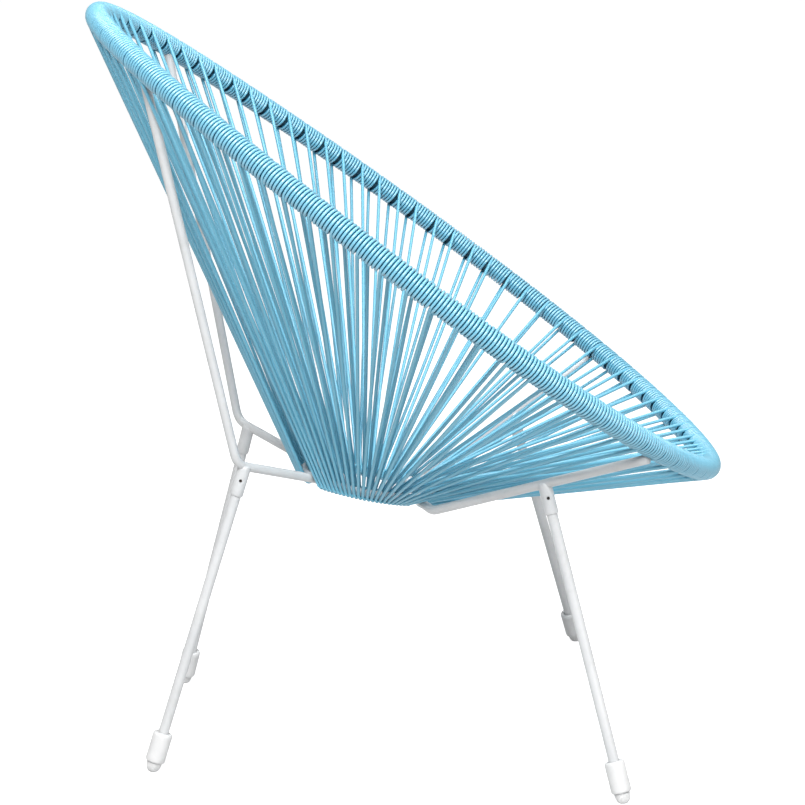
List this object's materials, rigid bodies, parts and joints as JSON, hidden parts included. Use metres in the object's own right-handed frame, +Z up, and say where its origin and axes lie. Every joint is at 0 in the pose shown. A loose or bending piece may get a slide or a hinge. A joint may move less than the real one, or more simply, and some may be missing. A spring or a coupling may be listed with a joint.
{
  "type": "acapulco chair",
  "caption": "Round lounge chair with an egg-shaped rim, cords strung from the rim down to a small hub ring, and four straight plugged-in legs.",
  "frame": {"origin": "middle of the chair's outline on the floor, between the four feet", "axes": "+Z up, the sitter faces -Y, +X to the sitter's left"},
  "size_m": [0.7212, 0.7154, 0.8588],
  "materials": {
    "cord": "satin light blue PVC cord",
    "powder_coat": "satin white powder coat",
    "white_plastic": "satin white moulded plastic",
    "screw_metal": "dark zinc"
  },
  "bodies": {
    "root": {"rim_hoop": "powder_coat", "hub_ring": "powder_coat", "rear_arm_right": "powder_coat", "front_arm_right": "powder_coat", "leg_socket_rear_right": "powder_coat", "leg_tube_rear_right": "powder_coat", "leg_screw_rear_right": "screw_metal", "foot_sleeve_rear_right": "white_plastic", "foot_tip_rear_right": "white_plastic", "leg_socket_front_right": "powder_coat", "leg_tube_front_right": "powder_coat", "leg_screw_front_right": "screw_metal", "foot_sleeve_front_right": "white_plastic", "foot_tip_front_right": "white_plastic", "rear_arm_left": "powder_coat", "front_arm_left": "powder_coat", "leg_socket_rear_left": "powder_coat", "leg_tube_rear_left": "powder_coat", "leg_screw_rear_left": "screw_metal", "foot_sleeve_rear_left": "white_plastic", "foot_tip_rear_left": "white_plastic", "leg_socket_front_left": "powder_coat", "leg_tube_front_left": "powder_coat", "leg_screw_front_left": "screw_metal", "foot_sleeve_front_left": "white_plastic", "foot_tip_front_left": "white_plastic", "seat_cord_01": "cord", "seat_cord_02": "cord", "seat_cord_03": "cord", "seat_cord_04": "cord", "seat_cord_05": "cord", "seat_cord_06": "cord", "seat_cord_07": "cord", "seat_cord_08": "cord", "seat_cord_09": "cord", "seat_cord_10": "cord", "seat_cord_11": "cord", "seat_cord_12": "cord", "seat_cord_13": "cord", "seat_cord_14": "cord"}
  },
  "joints": []
}
